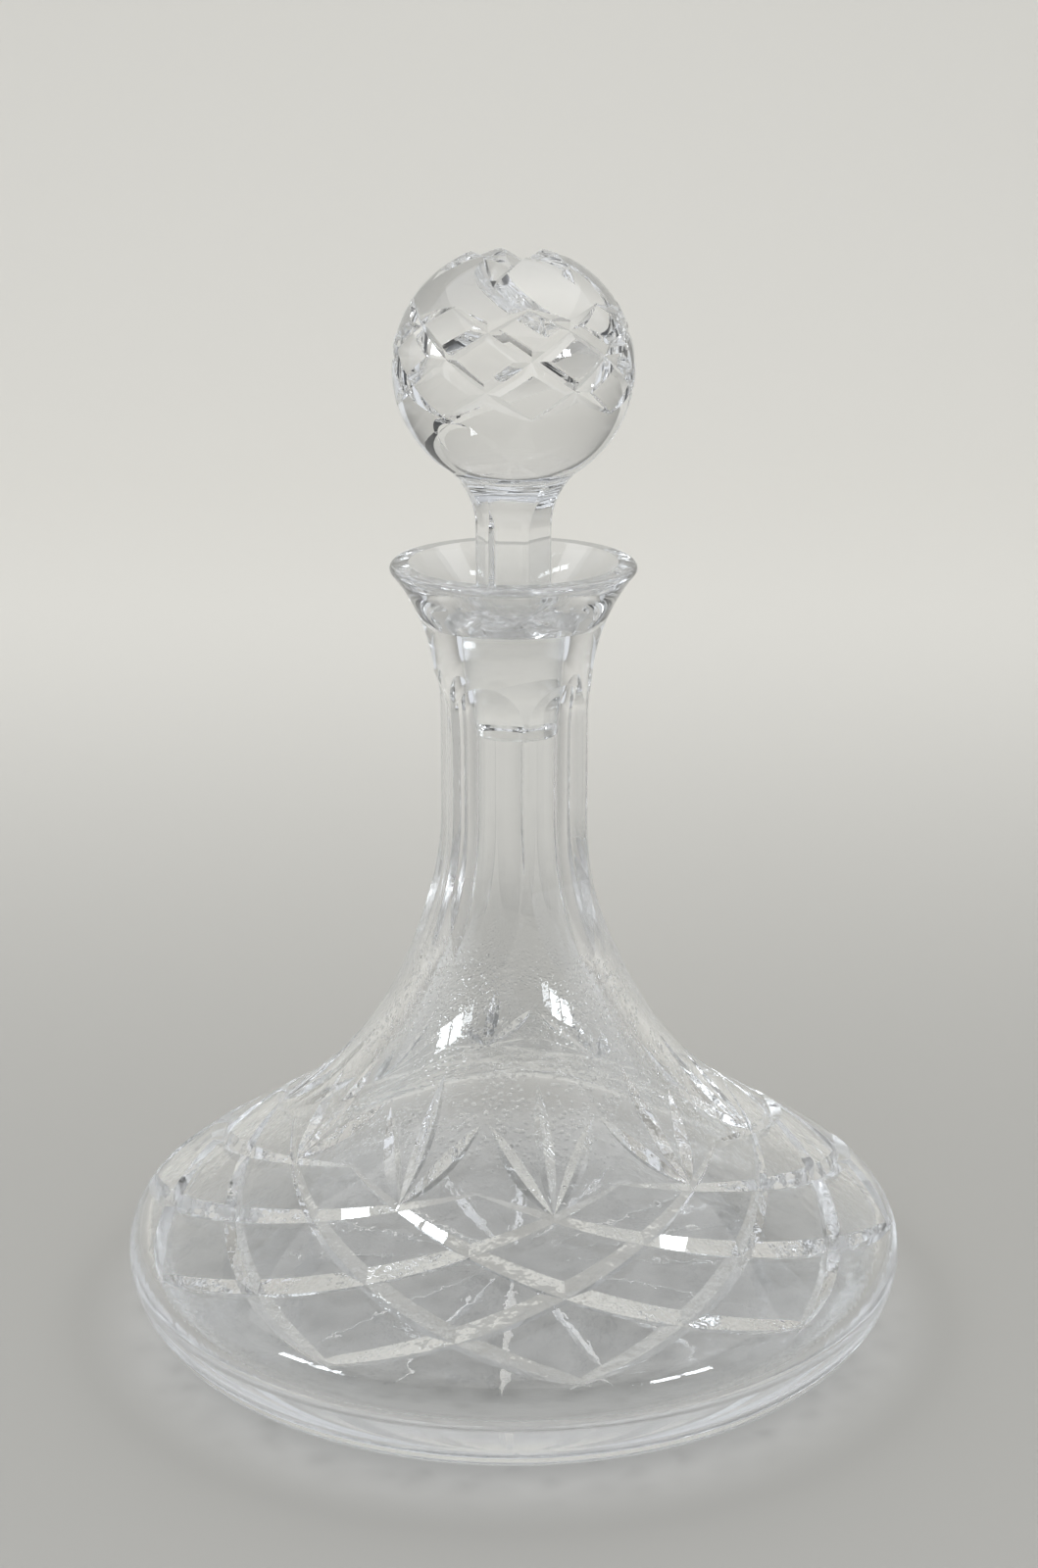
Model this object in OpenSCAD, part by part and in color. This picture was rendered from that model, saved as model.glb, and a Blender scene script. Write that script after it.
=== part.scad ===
// Ships decanter in clear cut glass: a wide low bowl under a long sloping shoulder and a fluted neck,
// with a ball stopper whose ground plug sits in a tapered seat in the neck.
// Sizes are millimetres and degrees. Z is up, the origin is on the table under the axis, the front is -Y.

/* [Bowl] */
// Width at the widest line
bowl_d = 180; // [160:1:200]
// Height of the widest line above the table
belt_z = 18; // [16:0.5:22]
// How far the flat foot stands in from the widest line
foot_inset = 16; // [8:0.5:17.5]
// Radius of the round between the widest line and the shoulder
shoulder_round = 11; // [9:0.5:13]
// Angle that the shoulder's straight slope faces above level
shoulder_tilt = 57; // [54:0.5:60]
// Thickness of the glass around the bowl
wall = 5.5; // [4.5:0.25:7]

/* [Neck] */
// Width of the round neck before the flutes are cut
neck_d = 34.8; // [31:0.2:40]
// Width of the bore under the stopper
bore_d = 20; // [16:0.5:22]
// Length of the straight stretch of the neck
neck_straight = 27.5; // [20:0.5:34]
// Height of the flared mouth above the straight stretch
flare_h = 29; // [24:0.5:36]
// Height of the rim above the table
rim_z = 178.5; // [170:0.5:190]
// Width over the rim
rim_d = 54.4; // [50:0.2:62]
// Radius of the round along the rim's outer edge
rim_round = 1.2; // [0.8:0.1:2]
// Width of the flat lip between the rim's outer edge and the mouth
lip_w = 4.4; // [3:0.1:6]

/* [Seat and plug] */
// How far the top of the seat lies under the rim
seat_drop = 12.5; // [10:0.5:16]
// Length of the tapered seat
seat_l = 28.5; // [22:0.5:34]
// Length of taper for each millimetre of width
seat_taper = 12; // [10:0.5:16]
// Gap between plug and seat, all round
seat_gap = 0.3; // [0.2:0.05:0.5]
// How far the plug stands out above the seat
plug_proud = 1; // [0.5:0.5:3]
// How far the plug ends above the foot of the seat
plug_short = 3; // [2:0.5:6]
// Width of the bevel round the plug's foot
plug_edge = 0.8; // [0.4:0.1:1.5]
// Height of the shoulder between plug and stem
plug_neck = 4; // [2:0.5:6]

/* [Stopper] */
// Width of the ball before it is cut
ball_d = 52.4; // [46:0.2:58]
// Height of the ball's middle above the rim
ball_rise = 42.5; // [38:0.5:48]
// Width of the round stem before its sides are cut
stem_d = 16.8; // [15:0.2:18.4]
// Height above the rim at which the round stem begins to widen
stem_rise = 8; // [5:0.5:10]

/* [Cuts on bowl and neck] */
// Turn of all the cuts about the axis, from the front
cut_turn = 9; // [0:1:36]
// Number of diamonds round the bowl
bowl_repeats = 10; // [8:1:12]
// Half the angle between the two faces of a long groove in the bowl
groove_half = 50; // [42:1:56]
// How far the long grooves open upwards from square to the slope
groove_lean = 10; // [0:1:15]
// Depth of the bowl's long grooves
groove_depth = 1.6; // [1:0.1:2]
// Height of the grooves' lower tips above the widest line
band_rise = 6; // [4:0.5:8]
// Height of the diamond band
band_h = 26.5; // [22:0.5:30]
// Share of a step by which two grooves cross at a tip
tip_cross = 0.05; // [0.02:0.01:0.1]
// Height of the fans' foot above the grooves' lower tips
fan_foot = 23; // [20:0.5:25]
// Height of the fan's middle leaf
fan_h = 22.5; // [16:0.5:26]
// Height of the fan's side leaves
fan_side_h = 14.5; // [10:0.5:18]
// Share of a step by which a side leaf leans
fan_spread = 0.46; // [0.36:0.02:0.48]
// Half the angle between the two faces of a leaf or of a ray in the base star
leaf_half = 50; // [42:1:56]
// Depth of the fan's leaf cuts
leaf_depth = 1.7; // [1:0.1:2.1]
// Number of flutes round the neck
flute_count = 6; // [5:1:7]
// Depth of the flutes
flute_depth = 2.1; // [1.6:0.1:2.4]
// Height of the flutes' lower tips above the widest line
flute_low = 69; // [60:1:76]
// Height of the flutes' upper tips above the foot of the flare
flute_high = 4.5; // [3:0.5:8]
// Number of rays in the star under the base
star_rays = 16; // [12:2:20]
// Depth of the star's rays
star_depth = 1; // [0.6:0.1:1.6]
// Width over the star
star_d = 124; // [100:1:136]
// Width of the bare middle of the star
star_eye = 18; // [14:1:24]

/* [Cuts on the stopper] */
// Number of diamonds round the ball
ball_repeats = 8; // [7:1:9]
// Half the angle between the two faces of a groove in the ball
ball_half = 52; // [45:1:58]
// Depth of the ball's grooves
ball_groove = 1.9; // [1.2:0.1:2.2]
// Latitude of the ball grooves' lower tips
ball_low = -17; // [-22:1:-12]
// Latitude of the ball grooves' middle
ball_mid = 11; // [8:1:13]
// Latitude of the ball grooves' upper tips
ball_high = 36; // [32:1:39]
// Turn of the crown star and of the stem's sides from the tip of a diamond
stopper_turn = 37.5; // [34:0.5:41]
// Number of cuts in the crown star
crown_cuts = 6; // [5:1:7]
// Half the angle between the two faces of a crown cut
crown_half = 55; // [50:1:60]
// Depth of the crown star on the axis
crown_depth = 5.5; // [4.5:0.1:6]
// Depth of the crown star half way out to its tips
crown_mid = 3.4; // [2.6:0.1:3.8]
// Latitude of the crown star's tips
crown_tip = 47; // [44:1:52]
// Number of sides cut on the stem
stem_sides = 6; // [5:1:7]
// Depth of the sides cut on the stem
side_depth = 0.9; // [0.6:0.1:1.2]
// How far the stem's sides begin to lean out before the round stem widens
side_lead = 1; // [0.5:0.5:3]
// How far under the ball's middle the stem's sides run out
side_drop = 20; // [17:0.5:22]

/* [Hidden] */
$fn = 80;

bowl_r = bowl_d / 2;
neck_r = neck_d / 2;
bore_r = bore_d / 2;
rim_r = rim_d / 2;
ball_r = ball_d / 2;
stem_r = stem_d / 2;

// Room that a cutting shape has to spare past what it cuts
spare = 1;
// How far a groove's cutting shape runs on past its two tips, and how many depths tall it is
run_out = 3;
reach = 4;
// The shoulder's slope and the stem's round are ground this much deeper than what they flow into,
// which leaves a fine line where they meet it
ground = 0.1;

// Round between foot and widest line, upright where it meets that line
belt_round = (foot_inset * foot_inset + belt_z * belt_z) / (2 * foot_inset);

// Straight slope of the shoulder, and the long sweep that leads from it into the neck
slope_n = [cos(shoulder_tilt), sin(shoulder_tilt)];
round_c = [bowl_r - shoulder_round, belt_z];
slope_foot = round_c + shoulder_round * slope_n;
flare_z = rim_z - flare_h;
sweep_z = flare_z - neck_straight;
function sweep_of(r, foot) = (slope_n * [r, sweep_z] - slope_n * foot) / (1 - slope_n.x);
sweep_round = sweep_of(neck_r, slope_foot);
sweep_c = [neck_r + sweep_round, sweep_z];
slope_top = sweep_c - sweep_round * slope_n;

// Flare of the mouth, which flows into the round along the rim
rim_c = [rim_r - rim_round, rim_z - rim_round];
flare_in = rim_c.x - neck_r;
flare_up = rim_c.y - flare_z;
flare_round = (pow(flare_in, 2) + pow(flare_up, 2) - pow(rim_round, 2)) / (2 * (flare_in + rim_round));
flare_c = [neck_r + flare_round, flare_z];
flare_meet = rim_c + rim_round * (flare_c - rim_c) / (flare_round + rim_round);

// Hollow of the bowl, one wall inside the outer face
in_round = shoulder_round - wall;
floor_z = belt_z - in_round;
in_foot = slope_foot - wall * slope_n;
in_sweep = sweep_of(bore_r, in_foot);
in_sweep_c = [bore_r + in_sweep, sweep_z];
in_top = in_sweep_c - in_sweep * slope_n;

// Tapered seat, and the funnel that opens from it to the flat lip
seat_top_z = rim_z - seat_drop;
seat_low_z = seat_top_z - seat_l;
seat_top = [bore_r + seat_l / (2 * seat_taper), seat_top_z];
mouth = [rim_r - lip_w, rim_z];
funnel_end = seat_top + (1 + spare / seat_drop) * (mouth - seat_top);

// Plug of the stopper, one gap inside the seat
plug_low_z = seat_low_z + plug_short;
plug_top_z = seat_top_z + plug_proud;
function plug_r(z) = bore_r + (z - seat_low_z) / (2 * seat_taper) - seat_gap;

// Ball of the stopper, and the round that leads from the stem out to it
ball_c = [0, rim_z + ball_rise];
stem_z = rim_z + stem_rise;
stem_up = ball_c.y - stem_z;
stem_round = (pow(stem_r, 2) + pow(stem_up, 2) - pow(ball_r, 2)) / (2 * (ball_r - stem_r));
stem_c = [stem_r + stem_round, stem_z];
stem_meet = ball_c + ball_r * (stem_c - ball_c) / (ball_r + stem_round);
function stem_face(z) =
    z < stem_meet.y ? stem_c.x - sqrt(pow(stem_round, 2) - pow(z - stem_z, 2)) :
    sqrt(pow(ball_r, 2) - pow(ball_c.y - z, 2));

// Diamond bands: the foot of the bowl's, how many steps its long grooves and the ball's run,
// and where the middle of a long groove lies, as a share of its run and of its height
band_z = belt_z + band_rise;
groove_steps = 2.5;
ball_steps = 2;
groove_mid = [0.528, 0.6];

// Radius of the body's outer face at a height, and the way it faces there as an angle above level
function body_r(z) =
    z < slope_foot.y ? round_c.x + sqrt(pow(shoulder_round, 2) - pow(z - belt_z, 2)) :
    z < slope_top.y ? slope_foot.x - (z - slope_foot.y) * tan(shoulder_tilt) :
    z < sweep_z ? sweep_c.x - sqrt(pow(sweep_round, 2) - pow(z - sweep_z, 2)) :
    z < flare_z ? neck_r :
    flare_c.x - sqrt(pow(flare_round, 2) - pow(z - flare_z, 2));
function body_tilt(z) =
    z < slope_foot.y ? asin((z - belt_z) / shoulder_round) :
    z < slope_top.y ? shoulder_tilt :
    z < sweep_z ? asin((sweep_z - z) / sweep_round) :
    0;

// A place at turn a from the front, and a direction that faces out and up there
function place(a, r, z) = [r * sin(a), -r * cos(a), z];
function facing(a, tilt) = [cos(tilt) * sin(a), -cos(tilt) * cos(a), sin(tilt)];
function on_body(a, z, depth) = place(a, body_r(z), z) - depth * facing(a, body_tilt(z));
function on_ball(a, lat, depth) = [0, 0, ball_c.y] + (ball_r - depth) * facing(a, lat);
function unit(v) = v / norm(v);

// Middle of the circle through three places
function ring_c(p, m, q) =
    let (u = m - p, v = q - p, w = cross(u, v))
    p + (cross(w, u) * (v * v) + cross(v, w) * (u * u)) / (2 * (w * w));

// Groove with two flat-sided faces: its bottom runs on the circle from p through m to q,
// and it opens towards out
module groove(p, m, q, out, half, depth, past = run_out) {
    c = ring_c(p, m, q);
    up = unit(cross(m - p, q - p));
    x = unit(p - c);
    y = cross(up, x);
    sweep = atan2((q - c) * y, (q - c) * x);
    turn = sweep < 0 ? sweep + 360 : sweep;
    more = past / norm(p - c) * 180 / PI;
    lean = atan2(out * up, out * unit(m - c));
    tall = reach * depth;
    side = tall * tan(half);
    multmatrix([
        [x.x, y.x, up.x, c.x],
        [x.y, y.y, up.y, c.y],
        [x.z, y.z, up.z, c.z],
        [0, 0, 0, 1],
    ])
        rotate([0, 0, -more])
            rotate_extrude(angle = turn + 2 * more)
                translate([norm(p - c), 0])
                    rotate(lean)
                        polygon([[0, 0], [tall, -side], [tall, side]]);
}

// Long cut at the front of a neck or stem: straight at distance flat, and running out in a round
// at each of its two tips
module flute(flat, low_z, top_z, low_tip, top_tip, width) {
    low_round = (pow(low_tip.x - flat, 2) + pow(low_z - low_tip.y, 2)) / (2 * (low_tip.x - flat));
    top_round = (pow(top_tip.x - flat, 2) + pow(top_tip.y - top_z, 2)) / (2 * (top_tip.x - flat));
    past = width / 4;
    rotate([90, 0, -90])
        linear_extrude(height = width, center = true) {
            translate([flat, low_z])
                square([width, top_z - low_z]);
            intersection() {
                translate([flat + low_round, low_z])
                    circle(r = low_round);
                translate([flat, low_tip.y - past])
                    square([width, low_z - low_tip.y + past]);
            }
            intersection() {
                translate([flat + top_round, top_z])
                    circle(r = top_round);
                translate([flat, top_z])
                    square([width, top_tip.y - top_z + past]);
            }
        }
}

// Half outline of the glass before it is hollowed
module body_outline() {
    difference() {
        union() {
            intersection() {
                translate([bowl_r - belt_round, belt_z])
                    circle(r = belt_round);
                square([bowl_r + spare, belt_z]);
            }
            intersection() {
                translate(round_c)
                    circle(r = shoulder_round);
                translate([0, belt_z])
                    square([bowl_r + spare, shoulder_round]);
            }
            polygon([
                [0, 0],
                [bowl_r - belt_round, 0],
                round_c,
                slope_foot - ground * slope_n,
                slope_top - ground * slope_n,
                [slope_top.x, sweep_z],
                [neck_r, sweep_z],
                [neck_r, flare_z],
                [flare_meet.x, flare_z],
                flare_meet,
                [rim_c.x, rim_z],
                [0, rim_z],
            ]);
            translate(rim_c)
                circle(r = rim_round);
        }
        translate(sweep_c)
            circle(r = sweep_round);
        translate(flare_c)
            circle(r = flare_round);
    }
}

// Half outline of the hollow, the bore, the seat and the funnel
module hollow_outline() {
    difference() {
        union() {
            translate(round_c)
                circle(r = in_round);
            polygon([
                [0, floor_z],
                [round_c.x, floor_z],
                round_c,
                in_foot,
                in_top,
                [in_top.x, sweep_z],
                [0, sweep_z],
            ]);
        }
        translate(in_sweep_c)
            circle(r = in_sweep);
    }
    polygon([
        [0, sweep_z - spare],
        [bore_r, sweep_z - spare],
        [bore_r, seat_low_z],
        seat_top,
        funnel_end,
        [0, funnel_end.y],
    ]);
}

// Long grooves of the diamond band that rise one way round, from the lower tips to the upper ones
module long_grooves(way) {
    step = way * 360 / bowl_repeats;
    for (i = [0 : bowl_repeats - 1])
        rotate([0, 0, cut_turn + i * step])
            groove(
                on_body(-tip_cross * step, band_z, 0),
                on_body(groove_mid.x * groove_steps * step, band_z + groove_mid.y * band_h, groove_depth),
                on_body((groove_steps + tip_cross) * step, band_z + band_h, 0),
                facing(groove_steps / 2 * step, shoulder_tilt + groove_lean), groove_half, groove_depth
            );
}

// One leaf of each fan: it starts where the long grooves cross and leans by a share of a step
module fan_leaves(share, rise) {
    step = 360 / bowl_repeats;
    low = band_z + fan_foot;
    for (i = [0 : bowl_repeats - 1])
        rotate([0, 0, cut_turn + i * step])
            groove(
                on_body(0, low, 0),
                on_body(share * step / 2, low + rise / 2, leaf_depth),
                on_body(share * step, low + rise, 0),
                facing(share * step / 2, body_tilt(low + rise / 2)), leaf_half, leaf_depth
            );
}

module neck_cuts() {
    step = 360 / flute_count;
    low_z = belt_z + flute_low;
    top_z = flare_z + flute_high;
    for (i = [0 : flute_count - 1])
        rotate([0, 0, cut_turn + (i + 0.5) * step])
            flute(
                neck_r - flute_depth, sweep_z - flute_high / 2, flare_z - flute_high,
                [body_r(low_z), low_z], [body_r(top_z), top_z], neck_d
            );
}

module base_star() {
    for (i = [0 : star_rays - 1])
        rotate([0, 0, cut_turn + (i + 0.5) * 360 / star_rays])
            groove(
                place(0, star_eye / 2, 0),
                place(0, (star_eye + star_d) / 4, star_depth),
                place(0, star_d / 2, 0),
                [0, 0, -1], leaf_half, star_depth
            );
}

module decanter_body() {
    color([0.9, 0.94, 0.95, 0.5])
        difference() {
            difference() {
                difference() {
                    difference() {
                        rotate_extrude()
                            difference() {
                                body_outline();
                                hollow_outline();
                            }
                        neck_cuts();
                        base_star();
                        fan_leaves(0, fan_h);
                    }
                    fan_leaves(fan_spread, fan_side_h);
                    fan_leaves(-fan_spread, fan_side_h);
                }
                long_grooves(1);
            }
            long_grooves(-1);
        }
}

// Half outline of the stopper before it is cut
module stopper_outline() {
    difference() {
        union() {
            intersection() {
                translate(ball_c)
                    circle(r = ball_r);
                translate([0, stem_z])
                    square([ball_r + spare, stem_up + ball_r + spare]);
            }
            polygon([
                [0, plug_low_z],
                [plug_r(plug_low_z) - plug_edge, plug_low_z],
                [plug_r(plug_low_z + plug_edge), plug_low_z + plug_edge],
                [plug_r(plug_top_z), plug_top_z],
                [stem_r, plug_top_z + plug_neck],
                [stem_r, stem_z],
                stem_meet,
                ball_c,
            ]);
        }
        translate(stem_c)
            circle(r = stem_round + ground);
    }
}

// Grooves of the ball's diamond band that rise one way round
module ball_grooves(way) {
    step = way * 360 / ball_repeats;
    for (i = [0 : ball_repeats - 1])
        rotate([0, 0, cut_turn + i * step])
            groove(
                on_ball(-tip_cross * step, ball_low, 0),
                on_ball(ball_steps / 2 * step, ball_mid, ball_groove),
                on_ball((ball_steps + tip_cross) * step, ball_high, 0),
                facing(ball_steps / 2 * step, ball_mid), ball_half, ball_groove
            );
}

module crown_star() {
    half_way = (90 + crown_tip) / 2;
    for (i = [0 : crown_cuts - 1])
        rotate([0, 0, cut_turn + stopper_turn + i * 360 / crown_cuts])
            groove(
                on_ball(0, 90, crown_depth), on_ball(0, half_way, crown_mid), on_ball(0, crown_tip, 0),
                facing(0, half_way), crown_half, crown_mid, spare
            );
}

module stem_cuts() {
    low = [(plug_r(plug_top_z) + stem_r) / 2, plug_top_z + plug_neck / 2];
    top = [stem_face(ball_c.y - side_drop), ball_c.y - side_drop];
    for (i = [0 : stem_sides - 1])
        rotate([0, 0, cut_turn + stopper_turn + i * 360 / stem_sides])
            flute(stem_r - side_depth, low.y + plug_neck, stem_z - side_lead, low, top, ball_r);
}

module stopper() {
    color([0.88, 0.93, 0.96, 0.5])
        difference() {
            difference() {
                difference() {
                    rotate_extrude()
                        stopper_outline();
                    stem_cuts();
                    crown_star();
                }
                ball_grooves(1);
            }
            ball_grooves(-1);
        }
}

decanter_body();
stopper();
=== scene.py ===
"""Ships decanter in clear cut glass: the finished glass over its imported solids, the light and the camera."""

import logging
import math
from dataclasses import dataclass, field
from enum import Enum
from typing import Any, Optional, Sequence, Union

import bpy
from mathutils import Matrix, Vector


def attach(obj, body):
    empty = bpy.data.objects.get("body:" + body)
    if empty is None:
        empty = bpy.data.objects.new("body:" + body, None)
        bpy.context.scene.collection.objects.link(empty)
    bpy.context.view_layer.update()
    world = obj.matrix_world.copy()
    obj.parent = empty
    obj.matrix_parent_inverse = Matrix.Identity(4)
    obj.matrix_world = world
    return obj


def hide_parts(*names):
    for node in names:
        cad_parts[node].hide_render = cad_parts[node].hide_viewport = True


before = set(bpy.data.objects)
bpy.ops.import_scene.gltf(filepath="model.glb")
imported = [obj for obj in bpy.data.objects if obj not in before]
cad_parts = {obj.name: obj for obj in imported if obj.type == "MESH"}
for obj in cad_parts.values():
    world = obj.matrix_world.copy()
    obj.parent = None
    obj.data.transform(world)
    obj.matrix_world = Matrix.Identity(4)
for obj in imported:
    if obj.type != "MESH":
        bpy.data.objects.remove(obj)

LOG = logging.getLogger("decanter")
MM = 0.001
INSIDE = "inside"
# Edges that turn more than this stay sharp
SHARP = math.radians(14)
# Points nearer than this are one point
SAME = 1e-6
# Number of a point that no outline reaches
NO_POINT = 100000

Pair = tuple[float, float]
Band = tuple[float, float, float, float]
Colour = tuple[float, float, float]
Operand = Union["Wire", float, int, Sequence[float]]


def stand(name: str, data: Any) -> bpy.types.Object:
    """Put a mesh, lamp or camera into the scene.

    Args:
        name: Name of the object.
        data: The mesh, lamp or camera.

    Returns:
        The object.
    """
    made = bpy.data.objects.new(name, data)
    bpy.context.scene.collection.objects.link(made)
    return made


class Ask(Enum):
    """Kinds of named input that a shape tree can have."""

    GEOMETRY = "NodeSocketGeometry"
    LENGTH = "NodeSocketFloat"
    COUNT = "NodeSocketInt"
    PLACE = "NodeSocketVector"
    MATERIAL = "NodeSocketMaterial"


class Way(Enum):
    """Which way round a family of grooves climbs."""

    LEFT = -1
    RIGHT = 1


class Wire:
    """One output of a node, so that node maths is written as Python maths."""

    def __init__(self, sheet: "NodeSheet", socket: bpy.types.NodeSocket) -> None:
        """Keep the output and the sheet it belongs to."""
        self.sheet = sheet
        self.socket = socket

    def __add__(self, other: Operand) -> "Wire":
        """This plus another value."""
        return self.sheet.maths("ADD", self, other)

    def __radd__(self, other: Operand) -> "Wire":
        """Another value plus this."""
        return self.sheet.maths("ADD", other, self)

    def __sub__(self, other: Operand) -> "Wire":
        """This less another value."""
        return self.sheet.maths("SUBTRACT", self, other)

    def __rsub__(self, other: Operand) -> "Wire":
        """Another value less this."""
        return self.sheet.maths("SUBTRACT", other, self)

    def __mul__(self, other: Operand) -> "Wire":
        """This times another value."""
        return self.sheet.maths("MULTIPLY", self, other)

    def __rmul__(self, other: Operand) -> "Wire":
        """Another value times this."""
        return self.sheet.maths("MULTIPLY", other, self)

    def __truediv__(self, other: Operand) -> "Wire":
        """This divided by another value."""
        return self.sheet.maths("DIVIDE", self, other)

    def __rtruediv__(self, other: Operand) -> "Wire":
        """Another value divided by this."""
        return self.sheet.maths("DIVIDE", other, self)

    def __mod__(self, other: Operand) -> "Wire":
        """What is left of this after division by another value."""
        return self.sheet.maths("MODULO", self, other)

    def __lt__(self, other: Operand) -> "Wire":
        """One where this is less than another value, else zero."""
        return self.sheet.maths("LESS_THAN", self, other)

    def __gt__(self, other: Operand) -> "Wire":
        """One where this is greater than another value, else zero."""
        return self.sheet.maths("GREATER_THAN", self, other)


class NodeSheet:
    """A node tree that is written with calls: each call adds one node and joins its inputs."""

    def __init__(self, tree: bpy.types.NodeTree) -> None:
        """Start on a tree."""
        self.tree = tree

    def node(
        self,
        kind: str,
        settings: Optional[dict[str, Any]] = None,
        values: Optional[dict[Union[str, int], Any]] = None,
        out: Union[str, int] = 0,
    ) -> Wire:
        """Add one node.

        Args:
            kind: Blender's name for the node type.
            settings: Properties of the node itself.
            values: Wires or plain values for its inputs, by name or number.
            out: The output to hand back, by name or number.

        Returns:
            The chosen output.
        """
        made = self.tree.nodes.new(kind)
        for name, value in (settings or {}).items():
            setattr(made, name, value)
        self.feed(made, values or {})
        if isinstance(out, int):
            shown = [s for s in made.outputs if s.enabled]
            return Wire(self, shown[out])
        return Wire(self, made.outputs[out])

    def feed(self, made: bpy.types.Node, values: dict[Union[str, int], Any]) -> None:
        """Feed inputs of a node with wires or plain values, by name or number."""
        for key, value in values.items():
            self.join(value, self.input_of(made, key))

    def input_of(self, made: bpy.types.Node, key: Union[str, int]) -> bpy.types.NodeSocket:
        """Find an input that is in use.

        Args:
            made: The node.
            key: Name or number of the input.

        Returns:
            The input socket.
        """
        if isinstance(key, int):
            return made.inputs[key]
        return next(s for s in made.inputs if s.name == key and s.enabled)

    def join(self, value: Any, socket: bpy.types.NodeSocket) -> None:
        """Feed an input with a wire or a plain value.

        Args:
            value: The wire or value.
            socket: The input socket.
        """
        if isinstance(value, Wire):
            self.tree.links.new(value.socket, socket)
        else:
            socket.default_value = value

    def maths(self, step: str, first: Operand, second: Operand = 0.0) -> Wire:
        """One step of arithmetic, on vectors where either side is one.

        Args:
            step: Name of the operation.
            first: Left value.
            second: Right value.

        Returns:
            The result.
        """
        sides = (first, second)
        wide = [not isinstance(s, (int, float)) and (not isinstance(s, Wire) or s.socket.type == "VECTOR")
                for s in sides]
        if not any(wide):
            return self.node("ShaderNodeMath", {"operation": step}, {0: first, 1: second})
        if step == "MULTIPLY" and not all(wide):
            vector, number = (first, second) if wide[0] else (second, first)
            values = {"Vector": vector, "Scale": number}
            return self.node("ShaderNodeVectorMath", {"operation": "SCALE"}, values)
        return self.node("ShaderNodeVectorMath", {"operation": step}, {0: first, 1: second})

    def call(self, step: str, value: Operand) -> Wire:
        """One function of one number, such as SINE."""
        return self.node("ShaderNodeMath", {"operation": step}, {0: value})

    def vector(self, x: Operand, y: Operand, z: Operand) -> Wire:
        """Three numbers as one vector."""
        return self.node("ShaderNodeCombineXYZ", None, {"X": x, "Y": y, "Z": z})

    def part(self, vector: Wire, axis: str) -> Wire:
        """The X, Y or Z of a vector."""
        return self.node("ShaderNodeSeparateXYZ", None, {0: vector}, axis)

    def unit(self, vector: Wire) -> Wire:
        """A vector at length one."""
        return self.node("ShaderNodeVectorMath", {"operation": "NORMALIZE"}, {0: vector})

    def from_axis(self, spot: Wire) -> Wire:
        """Distance of a place from the upright axis."""
        return self.node("ShaderNodeVectorMath", {"operation": "LENGTH"}, {0: spot * (1, 1, 0)}, "Value")

    def mix(self, share: Operand, first: Operand, second: Operand) -> Wire:
        """A blend of two colours or wires, all of the first one at a share of zero."""
        ends = [c if isinstance(c, Wire) else (*c, 1.0) for c in (first, second)]
        return self.node(
            "ShaderNodeMix", {"data_type": "RGBA"}, {"Factor": share, "A": ends[0], "B": ends[1]}
        )

    def ease(self, value: Wire, low: float, high: float, first: float = 0.0, last: float = 1.0) -> Wire:
        """A soft step.

        Args:
            value: The number that runs across the step.
            low: Where the step starts.
            high: Where it ends.
            first: Result before the step.
            last: Result after it.

        Returns:
            The result.
        """
        return self.node(
            "ShaderNodeMapRange", {"interpolation_type": "SMOOTHSTEP"},
            {"Value": value, "From Min": low, "From Max": high, "To Min": first, "To Max": last},
        )

    def band(self, value: Wire, edges: Band) -> Wire:
        """A band with soft edges.

        Args:
            value: The number that runs across the band.
            edges: Where it starts to rise, is full, starts to fall and is gone.

        Returns:
            One inside the band, zero outside.
        """
        return self.ease(value, *edges[:2]) * (1 - self.ease(value, *edges[2:]))

    def noise(self, spot: Wire, length: float, detail: float = 2.0) -> Wire:
        """Soft noise about one half, with features of a given length."""
        return self.node("ShaderNodeTexNoise", None, {"Vector": spot, "Scale": 1 / length, "Detail": detail})


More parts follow.
